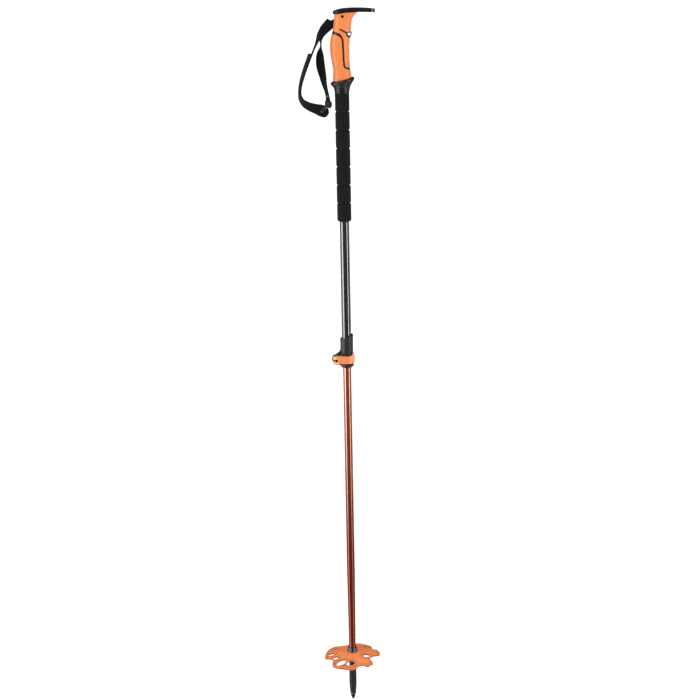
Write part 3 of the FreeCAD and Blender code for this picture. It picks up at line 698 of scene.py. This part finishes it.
def settle(obj, body, slot_name, *nodes):
    """Puts a piece on its body, in place of the CAD nodes it stands for."""
    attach(obj, body)
    if nodes:
        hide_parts(*nodes)


# ---------------------------------------------------------------- tip

def make_tip():
    """Metal tip, its hard insert and the black ferrule with the cone above the basket."""
    holder = edged_copy("tip_holder", "tip_holder_metal", MATERIALS["tip_metal"], 0.25)
    settle(holder, "lower_section", "tip_metal", "tip_holder")
    insert = edged_copy("carbide_insert", "carbide_tip", MATERIALS["carbide"], 0.2)
    settle(insert, "lower_section", "carbide", "carbide_insert")
    ferrule = edged_copy("tip_ferrule", "tip_ferrule_moulding", MATERIALS["ferrule"], 0.35)
    settle(ferrule, "lower_section", "black_plastic", "tip_ferrule")


# ---------------------------------------------------------------- basket

# All in millimetres. The hub stays as it is in the CAD model.
HUB_R = 9.4
HUB_MARGIN = 0.6
# Edges nearer the hub than this get no bead.
HUB_EDGES = 2
# Beads: their height, distance from the edge and spread. RIM_BELOW is their share on the underside.
BEAD_HEIGHT = 1.25
BEAD_INSET = 1.1
BEAD_SPREAD = 0.95
RIM_BELOW = 1.0
# Painted shade, in darker lines: creases inside the beads, the edge itself, and valleys between the ribs
# (share of a pitch).
CREASE_INSET = 2.9
CREASE_SPREAD = 0.85
EDGE_LINE = 0.7
VALLEY_SPREAD = 0.12
VALLEY_SHADE = 0.35
# Ribs from the hub, which fade out outwards and towards the edges.
BASKET_RIBS = 10
RIB_HEIGHT = 0.4
RIB_SPREAD = 0.6
RIB_REACH = 22
RIB_OFF_EDGE = 1.5
RIB_FADE = 2
# Upward part of a normal: under the first a face is a wall and keeps its place, under the second it gets
# painted shade.
WALL_TILT = 0.15
PAINTED_SHADE_TILT = 0.3
FULL_TILT = 0.5


def wall_samples(node, keep_outside, spacing=0.25):
    """Points along every edge between a node's upright walls and its flat faces, in millimetres.

    Those within keep_outside of the shaft's axis are left out.
    """
    bm = bmesh.new()
    bm.from_mesh(frame["nodes"][node].data)
    weld(bm, WELD)
    points = []
    for edge in bm.edges:
        if len(edge.link_faces) != 2:
            continue
        slopes = sorted(abs(face.normal.z) for face in edge.link_faces)
        if slopes[0] < 0.2 and slopes[1] > 0.7:
            a = np.array(edge.verts[0].co) / MM
            b = np.array(edge.verts[1].co) / MM
            count = max(2, int(np.linalg.norm(b - a) / spacing))
            points += [a + (b - a) * t for t in np.linspace(0, 1, count)]
    bm.free()
    points = np.array(points)
    return points[np.hypot(points[:, 0], points[:, 1]) > keep_outside]


def make_basket():
    """Dished snow basket: beads along its edge and every hole, slim ribs from the hub, painted shade and
    highlight.
    """
    body = moulded_copy("basket", "basket_disc", MATERIALS["basket_orange"], 0.4, 3)
    rims = wall_samples("basket", HUB_R + HUB_EDGES)
    tree = KDTree(len(rims))
    for index, point in enumerate(rims):
        tree.insert((point[0], point[1], 0), index)
    tree.balance()
    count = len(body.data.vertices)
    place = np.zeros(count * 3, np.float32)
    normal = np.zeros(count * 3, np.float32)
    body.data.vertices.foreach_get("co", place)
    body.data.vertices.foreach_get("normal", normal)
    place = place.reshape(-1, 3) / MM
    up = normal.reshape(-1, 3)[:, 2]
    radius = np.hypot(place[:, 0], place[:, 1])
    away = np.array([tree.find((x, y, 0))[2] for x, y, _ in place])
    bead = BEAD_HEIGHT * np.exp(-((away - BEAD_INSET) / BEAD_SPREAD) ** 2)
    turn = (np.arctan2(place[:, 1], place[:, 0]) * BASKET_RIBS / (2 * math.pi)) % 1.0
    off = np.minimum(turn, 1 - turn) * 2 * math.pi / BASKET_RIBS * radius
    fade = np.clip(1 - (radius - HUB_R) / RIB_REACH, 0, 1) * np.clip((away - RIB_OFF_EDGE) / RIB_FADE, 0, 1)
    ribs = RIB_HEIGHT * np.exp(-(off / RIB_SPREAD) ** 2) * fade
    rise = np.where(up > 0, (bead + ribs) * np.clip(up / FULL_TILT, 0, 1), -RIM_BELOW * bead)
    place[:, 2] += np.where((radius < HUB_R + HUB_MARGIN) | (np.abs(up) < WALL_TILT), 0, rise)
    body.data.vertices.foreach_set("co", (place * MM).astype(np.float32).ravel())

    # The material reads this: X is how much painted shade, Y how much painted highlight.
    crease_shade = np.exp(-((away - CREASE_INSET) / CREASE_SPREAD) ** 2) + np.clip(1 - away / EDGE_LINE, 0, 1)
    valley_shade = VALLEY_SHADE * (np.exp(-((turn - 0.5) / VALLEY_SPREAD) ** 2) * fade)
    marks = np.stack([np.clip(crease_shade + valley_shade, 0, 1), np.clip(bead / BEAD_HEIGHT, 0, 1), 0 * away], 1)
    # Walls and steep faces get full painted shade.
    marks[np.abs(up) < PAINTED_SHADE_TILT] = (1, 0, 0)
    relief = body.data.attributes.new("relief", "FLOAT_VECTOR", "POINT")
    relief.data.foreach_set("vector", marks.astype(np.float32).ravel())
    body.data.update()
    finish_mesh(body, MOULDED_CRISP)
    settle(body, "basket", "orange_plastic", "basket")


# ---------------------------------------------------------------- height lock

def make_lock():
    """Collar, lever, bush lip, tension screw and barrel nut of the height lock."""
    collar = moulded_copy("clamp_collar", "lock_collar", MATERIALS["gloss_black"], 0.25, 4)
    settle(collar, "root", "black_plastic", "clamp_collar")
    lever = moulded_copy("lock_lever", "lock_lever_moulding", MATERIALS["lever_orange"], 0.2, 5)
    settle(lever, "lock_lever", "orange_plastic", "lock_lever")
    bush = edged_copy("reducer_bush", "reducer_bush_lip", MATERIALS["gloss_black"], 0.2)
    settle(bush, "root", "inner_plastic", "reducer_bush")
    screw = edged_copy("tension_screw", "tension_screw_head", MATERIALS["dark_steel"], 0.15)
    settle(screw, "tension_screw", "steel", "tension_screw")
    pin = edged_copy("barrel_pin", "barrel_nut", MATERIALS["dark_steel"], 0.2)
    settle(pin, "root", "steel", "barrel_pin")


# ---------------------------------------------------------------- foam sleeve

# All in millimetres.
FOAM_GROOVES = 6
GROOVE_DEPTH = 1.7
GROOVE_SPREAD = 1.375
# The skin lies this far inside the CAD surface, so that its bumps stay within it.
FOAM_SKIN = 0.05
FOAM_BUMP = 0.035
# Rounded foot of the sleeve: its height and its depth.
FOOT_HEIGHT = 3
FOOT_DEPTH = 2.2
FOAM_STEP = 0.45
FOAM_COLS = 150


def make_foam():
    """Foam sleeve with soft-edged grooves and a slightly uneven skin."""
    low, high = node_box("foam_sleeve")
    bottom, top, radius = low[2], high[2], high[0] - FOAM_SKIN
    bore = node_box("upper_shaft")[1][0]
    pitch = (top - bottom) / (FOAM_GROOVES + 1)
    outline = [(bore, bottom + 0.4)]
    for z in np.arange(bottom, top, FOAM_STEP):
        nearest = min(abs(z - (bottom + k * pitch)) for k in range(1, FOAM_GROOVES + 1))
        r = radius - GROOVE_DEPTH * math.exp(-(nearest / GROOVE_SPREAD) ** 2)
        from_end = z - bottom
        if from_end < FOOT_HEIGHT:
            r -= FOOT_DEPTH * (1 - math.sqrt(1 - (1 - from_end / FOOT_HEIGHT) ** 2))
        outline.append((r, z))
    outline = np.array(outline + [(radius, top), (bore, top)])
    angles = 2 * math.pi * np.arange(FOAM_COLS) / FOAM_COLS
    bumps = np.random.default_rng(11).normal(0, 1, (len(outline), FOAM_COLS))
    bumps = (bumps + np.roll(bumps, 1, 0) + np.roll(bumps, 1, 1) + np.roll(bumps, (1, 1), (0, 1))) / 2
    bumps[[0, -1]] = 0
    reach = outline[:, :1] + np.clip(bumps * FOAM_BUMP, -FOAM_SKIN, FOAM_SKIN)
    height = np.broadcast_to(outline[:, 1:], reach.shape)
    points = np.stack([reach * np.cos(angles), reach * np.sin(angles), height], -1).reshape(-1, 3)
    faces = grid_faces(len(outline), FOAM_COLS, wrap_rings=True)
    sleeve = new_piece("foam_grip", points, faces, MATERIALS["foam"], sharp_degrees=60)
    settle(sleeve, "root", "foam", "foam_sleeve")


# ---------------------------------------------------------------- grip

def make_grip():
    """Both rubber skins, the core between them, eyelet, plate, end piece, neck and strap pin."""
    palm = moulded_copy("grip_palm_skin", "grip_palm", MATERIALS["orange_rubber"], 0.4, 4)
    settle(palm, "root", "orange_rubber", "grip_palm_skin")
    head = moulded_copy("grip_head_skin", "grip_head", MATERIALS["orange_rubber"], 0.4, 4)
    settle(head, "root", "orange_rubber", "grip_head_skin")
    core = moulded_copy("grip_core", "grip_core_ridge", MATERIALS["black_plastic"], 0.4, 3)
    settle(core, "root", "black_plastic", "grip_core")
    eyelet = moulded_copy("lanyard_eyelet", "lanyard_ring", MATERIALS["matt_black"], 0.18, 3)
    settle(eyelet, "root", "black_plastic", "lanyard_eyelet")
    plate = moulded_copy("hook_plate", "hook_top_plate", MATERIALS["matt_black"], 0.35, 5)
    settle(plate, "root", "black_plastic", "hook_plate")
    insert = moulded_copy("scraper_insert", "scraper_edge", MATERIALS["scraper"], 0.25, 3)
    settle(insert, "root", "black_plastic", "scraper_insert")
    neck = moulded_copy("grip_collar", "grip_flange", MATERIALS["neck_black"], 0.35, 4)
    settle(neck, "root", "black_plastic", "grip_collar")
    pin = edged_copy("strap_pin", "strap_pin_head", MATERIALS["dark_steel"], 0.3)
    settle(pin, "root", "steel", "strap_pin")


# ---------------------------------------------------------------- wrist strap

# The folded end that leaves the grip: (upper edge x, z, lower edge x, z), seen from the side.
FOLDED_END = [
    (-8.0, 1242.4, -8.6, 1229.0), (-11.4, 1241.9, -10.9, 1228.4), (-15.9, 1240.0, -12.6, 1227.4),
    (-20.8, 1242.2, -14.2, 1226.1), (-21.9, 1242.9, -14.8, 1225.6), (-22.9, 1242.0, -15.6, 1224.9),
    (-27.3, 1237.3, -18.8, 1222.3), (-31.6, 1232.2, -22.9, 1218.9), (-35.4, 1226.0, -27.6, 1214.4)]
# The two strands and the pad: (x, y, z, width, twist).
LEFT_STRAND = [
    (-35.0, -1.0, 1215.6, 13, -46), (-38.7, -1.6, 1207.6, 13.5, -69), (-41.9, -2.4, 1200.3, 14, -80),
    (-45.6, -3.2, 1192.0, 14.5, -84), (-49.8, -4.3, 1182.0, 15, -84), (-55.4, -5.3, 1168.5, 15, -84),
    (-58.4, -5.7, 1160.0, 14, -84)]
RIGHT_STRAND = [
    (-32.8, 1.2, 1214.0, 13, -48), (-33.2, 2.0, 1207.0, 12, -76), (-33.3, 2.8, 1197.0, 14, -82),
    (-34.7, 3.6, 1186.0, 15.5, -46), (-34.9, 4.2, 1172.0, 15.5, -24), (-33.4, 4.2, 1160.0, 15.5, -26),
    (-31.0, 3.8, 1148.0, 15.5, -42), (-28.9, 3.2, 1136.0, 15.5, -56), (-25.7, 3.0, 1124.0, 15.5, -66),
    (-23.6, 3.0, 1113.0, 15.5, -64), (-22.9, 2.8, 1103.0, 15.5, -60), (-23.8, 2.6, 1097.6, 15.5, -56)]
PAD_LINE = [
    (-50.2, -5.2, 1187.4, 18, -72), (-57.8, -6.2, 1168.0, 20, -75), (-63.2, -6.4, 1153.0, 20, -76),
    (-67.6, -5.8, 1138.0, 20, -78), (-69.5, -4.8, 1124.0, 20, -78), (-67.4, -3.9, 1112.8, 20, -66),
    (-61.2, -3.4, 1104.9, 20, -50), (-51.8, -3.0, 1099.7, 20, -38), (-43.8, -2.6, 1096.8, 20, -29),
    (-36.5, -2.2, 1094.2, 20, -10), (-30.6, -2.0, 1092.0, 20, -4), (-25.6, -2.0, 1090.9, 18, 0),
    (-22.0, -2.0, 1090.6, 15, 0)]
# Thicknesses, the weave's pitch along the tape and across it, and mesh rows, in millimetres.
WEB_THICK = 1.5
PAD_THICK = 3.6
RIB_PITCH = 1.0
YARN_PITCH = 1.3
KNIT_PITCH = 0.9
ROWS_PER_MM = 4
# Share of a strip's points that crowd towards its edges, and the least width of its rounded ends.
EDGE_CROWD = 0.35
LEAST_END = 0.12
# The pad's seams, as a share of its half width, and the pitch of their stitches.
SEAM_AT = 0.79
STITCH_PITCH = 2.6
# Bartack at the right strand's loose end: distance from it, rows, stitches in a row.
TACK_FROM_END = 19
TACK_ROWS = (-1.2, -0.4, 0.4, 1.2)
TACK_STITCHES = 14
# Oval of pale stitches near the pad's loose end: middle (across, from the end), half sizes, lean.
OVAL_MIDDLE = (3.6, 9.6)
OVAL_HALF = (6.4, 1.9)
OVAL_LEAN = 33
OVAL_STITCHES = 22


def station_edges(stations):
    """Both edges of a strap, as six numbers for each station."""
    centres = np.array([s[:3] for s in stations], float)
    across = np.array((0.0, 1.0, 0.0))
    pairs = []
    for k, (_, _, _, width, twist) in enumerate(stations):
        along = centres[min(k + 1, len(centres) - 1)] - centres[max(k - 1, 0)]
        along /= np.linalg.norm(along)
        level = np.cross(along, across)
        level /= np.linalg.norm(level)
        angle = math.radians(twist)
        side = level * math.cos(angle) + across * math.sin(angle)
        pairs.append(np.concatenate([centres[k] - side * width / 2, centres[k] + side * width / 2]))
    return pairs


def folded_edges(y):
    """Both edges of the folded end's middle line, moved y millimetres sideways."""
    return [np.array((ax, y, az, bx, y, bz), float) for ax, az, bx, bz in FOLDED_END]


class Strip:
    """Smooth flat strip between two edge curves, evenly divided along its length."""

    def __init__(self, pairs, round_start=0.0, round_end=0.0):
        fine = smooth_line(pairs, 24)
        middle = (fine[:, :3] + fine[:, 3:]) / 2
        run = np.concatenate([[0], np.cumsum(np.linalg.norm(np.diff(middle, axis=0), axis=1))])
        self.length = run[-1]
        count = int(self.length * ROWS_PER_MM)
        self.run = np.linspace(0, self.length, count)
        even = np.stack([np.interp(self.run, run, fine[:, k]) for k in range(6)], 1)
        self.middle = (even[:, :3] + even[:, 3:]) / 2
        self.half = (even[:, 3:] - even[:, :3]) / 2
        ends = np.ones(count)
        for reach, away in ((round_start, self.run), (round_end, self.length - self.run)):
            if reach:
                t = np.clip(1 - away / reach, 0, 1)
                ends = np.minimum(ends, np.sqrt(np.clip(1 - t ** 2.4, 0.0, 1)))
        self.half *= np.maximum(ends, LEAST_END)[:, None]
        self.along = np.gradient(self.middle, axis=0)
        self.along /= np.linalg.norm(self.along, axis=1)[:, None]
        normal = np.cross(self.along, self.half)
        self.normal = normal / np.linalg.norm(normal, axis=1)[:, None]
        self.width = 2 * np.linalg.norm(self.half, axis=1)

    def build(self, name, cols, thickness, relief, material):
        """Mesh of the strip. thickness(u, run) and relief(x, run) are in millimetres."""
        even = np.linspace(-1, 1, cols) * (1 - EDGE_CROWD)
        u = -np.cos(np.linspace(0, math.pi, cols)) * EDGE_CROWD + even
        run = self.run[:, None]
        x = u[None, :] * self.width[:, None] / 2
        body = thickness(u[None, :], run, self) / 2
        flat = self.middle[:, None] + self.half[:, None] * u[None, :, None]
        rise = (body + relief(x, run))[..., None] * self.normal[:, None]
        shift = 0.5 * RIB_PITCH
        fall = (body + relief(x + shift, run + shift))[..., None] * self.normal[:, None]
        rows = np.concatenate([flat + rise, (flat - fall)[:, ::-1]], axis=1)
        count, ring = rows.shape[:2]
        uv_x = np.concatenate([x, x[:, ::-1] + 40], axis=1)
        uv = np.stack([uv_x, np.broadcast_to(run, uv_x.shape)], -1).reshape(-1, 2)
        points = rows.reshape(-1, 3)
        faces = grid_faces(count, ring)
        faces.append(tuple(range(ring))[::-1])
        faces.append(tuple((count - 1) * ring + k for k in range(ring)))
        return new_piece(name, points, faces, material, uv=uv, sharp_degrees=80)

    def row_at(self, run):
        return int(np.clip(np.searchsorted(self.run, run), 0, len(self.run) - 1))

    def surface(self, run, u, lift):
        """Point lift above the strip, u half widths from its middle, with its run direction and normal."""
        k = self.row_at(run)
        place = self.middle[k] + self.half[k] * u + self.normal[k] * lift
        return place, self.along[k], self.normal[k]

    def on_face(self, run, across, lift):
        """Point on the face that looks to -Y, millimetres across from the middle, and its normal."""
        k = self.row_at(run)
        normal = -self.normal[k] * np.sign(self.normal[k][1])
        return self.middle[k] + self.half[k] / (self.width[k] / 2) * across + normal * lift, normal


def tape_body(u, run, strip):
    """Webbing is even, with a slightly thinner woven edge."""
    return WEB_THICK * (1 - 0.55 * np.abs(u) ** 14) + 0 * run


def tape_relief(x, run):
    """Plain weave: weft ribs crossed by warp yarns."""
    ribs = np.cos(2 * math.pi * run / RIB_PITCH + math.pi * np.floor(x / YARN_PITCH))
    yarns = np.abs(np.sin(math.pi * x / YARN_PITCH))
    return 0.07 * ribs * yarns + 0.05 * yarns


def pad_body(u, run, strip):
    """Crowned pad with a rolled binding along both edges."""
    crown = PAD_THICK * (0.74 + 0.30 * np.clip(1 - (u / 0.8) ** 2, 0, 1) ** 0.7)
    seam = 1 - 0.34 * np.exp(-((np.abs(u) - SEAM_AT) / 0.05) ** 2)
    edge = np.sqrt(np.clip(1 - (np.clip(np.abs(u) - 0.86, 0, 1) / 0.145) ** 2, 0.04, 1))
    from_end = np.minimum(run, strip.length - run)
    ends = np.sqrt(np.clip(1 - np.clip(1 - from_end / 1.6, 0, 1) ** 2, 0.06, 1))
    return crown * seam * edge * ends


def pad_relief(x, run):
    """Fine knit of the pad's cover."""
    return 0.035 * np.cos(2 * math.pi * run / KNIT_PITCH) * np.cos(2 * math.pi * x / KNIT_PITCH)


def thread_row(name, places, material, half_length, radius):
    """Row of separate stitches, each a small rounded thread lying on the surface.

    places holds (point, direction, normal) for each stitch.
    """
    points = []
    faces = []
    ring = 6
    rings = 5
    for place, along, normal in places:
        side = np.cross(along, normal)
        base = len(points)
        for t in np.linspace(-1, 1, rings):
            r = radius * math.sqrt(max(0.02, 1 - t ** 4))
            sag = radius * 0.9 * t ** 2
            for j in range(ring):
                angle = 2 * math.pi * j / ring
                points.append(place + along * half_length * t + side * r * math.cos(angle)
                              + normal * (r * math.sin(angle) - sag))
        for a, b, c, d in grid_faces(rings, ring):
            faces.append((base + a, base + b, base + c, base + d))
        faces.append(tuple(base + k for k in range(ring))[::-1])
        faces.append(tuple(base + (rings - 1) * ring + k for k in range(ring)))
    return new_piece(name, points, faces, material)


def make_strap():
    """Two strands of webbing from the grip's slot, the wrist pad, their stitches and the slider."""
    left = Strip(folded_edges(-0.95) + station_edges(LEFT_STRAND))
    right = Strip(folded_edges(0.95) + station_edges(RIGHT_STRAND))
    for name, strip, nodes in (("webbing_left", left, ("strap_webbing_left", "strap_anchor")),
                               ("webbing_right", right, ("strap_webbing_right",))):
        tape = strip.build(name, 37, tape_body, tape_relief, MATERIALS["webbing"])
        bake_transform(tape)
        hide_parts(*nodes)
    pad_strip = Strip(station_edges(PAD_LINE), round_start=5.0, round_end=7.5)
    pad = pad_strip.build("wrist_pad", 49, pad_body, pad_relief, MATERIALS["pad"])
    settle(pad, "strap", "pad", "strap_pad")

    stitches = []
    for u in (-SEAM_AT, SEAM_AT):
        for face in (1, -1):
            for run in np.arange(7, pad_strip.length - 8, STITCH_PITCH):
                place, along, normal = pad_strip.surface(run, u, face * PAD_THICK * 0.27)
                stitches.append((place, along, normal * face))
    seam = thread_row("pad_stitching", stitches, MATERIALS["thread"], 0.9, 0.24)
    settle(seam, "strap", "pad")

    ring = []
    lean = math.radians(OVAL_LEAN)
    for angle in np.arange(OVAL_STITCHES) * 2 * math.pi / OVAL_STITCHES:
        spots = []
        for turn in (angle, angle + 0.25):
            long, short = OVAL_HALF[0] * math.cos(turn), OVAL_HALF[1] * math.sin(turn)
            across = OVAL_MIDDLE[0] + long * math.cos(lean) - short * math.sin(lean)
            back = OVAL_MIDDLE[1] - long * math.sin(lean) - short * math.cos(lean)
            spots.append(pad_strip.on_face(pad_strip.length - back, across, PAD_THICK * 0.5))
        along = spots[1][0] - spots[0][0]
        ring.append((spots[0][0], along / np.linalg.norm(along), spots[0][1]))
    oval = thread_row("pad_oval_stitching", ring, MATERIALS["pale_thread"], 0.85, 0.42)
    settle(oval, "strap", "pad")

    tacks = []
    for row in TACK_ROWS:
        for u in np.linspace(-0.8, 0.8, TACK_STITCHES):
            for face in (1, -1):
                run = right.length - TACK_FROM_END + row
                place, along, normal = right.surface(run, u, face * (WEB_THICK / 2 + 0.12))
                slant = np.cross(along, normal) * 0.7 + along * 0.7
                tacks.append((place, slant, normal * face))
    tack = thread_row("webbing_bartack", tacks, MATERIALS["pale_thread"], 0.75, 0.2)
    settle(tack, "strap", "webbing")

    slider = moulded_copy("strap_slider", "strap_slide_buckle", MATERIALS["matt_black"], 0.22, 3)
    settle(slider, "strap", "black_plastic", "strap_slider")


make_camera()
make_stage()
MATERIALS = make_materials()

for part in frame["record"]["subparts"]:
    carried = frame["nodes"][part["node"]]
    carried.data.materials.clear()
    carried.data.materials.append(MATERIALS[part["material_slot"]])

make_tip()
make_basket()
make_lock()
make_foam()
make_grip()
make_strap()
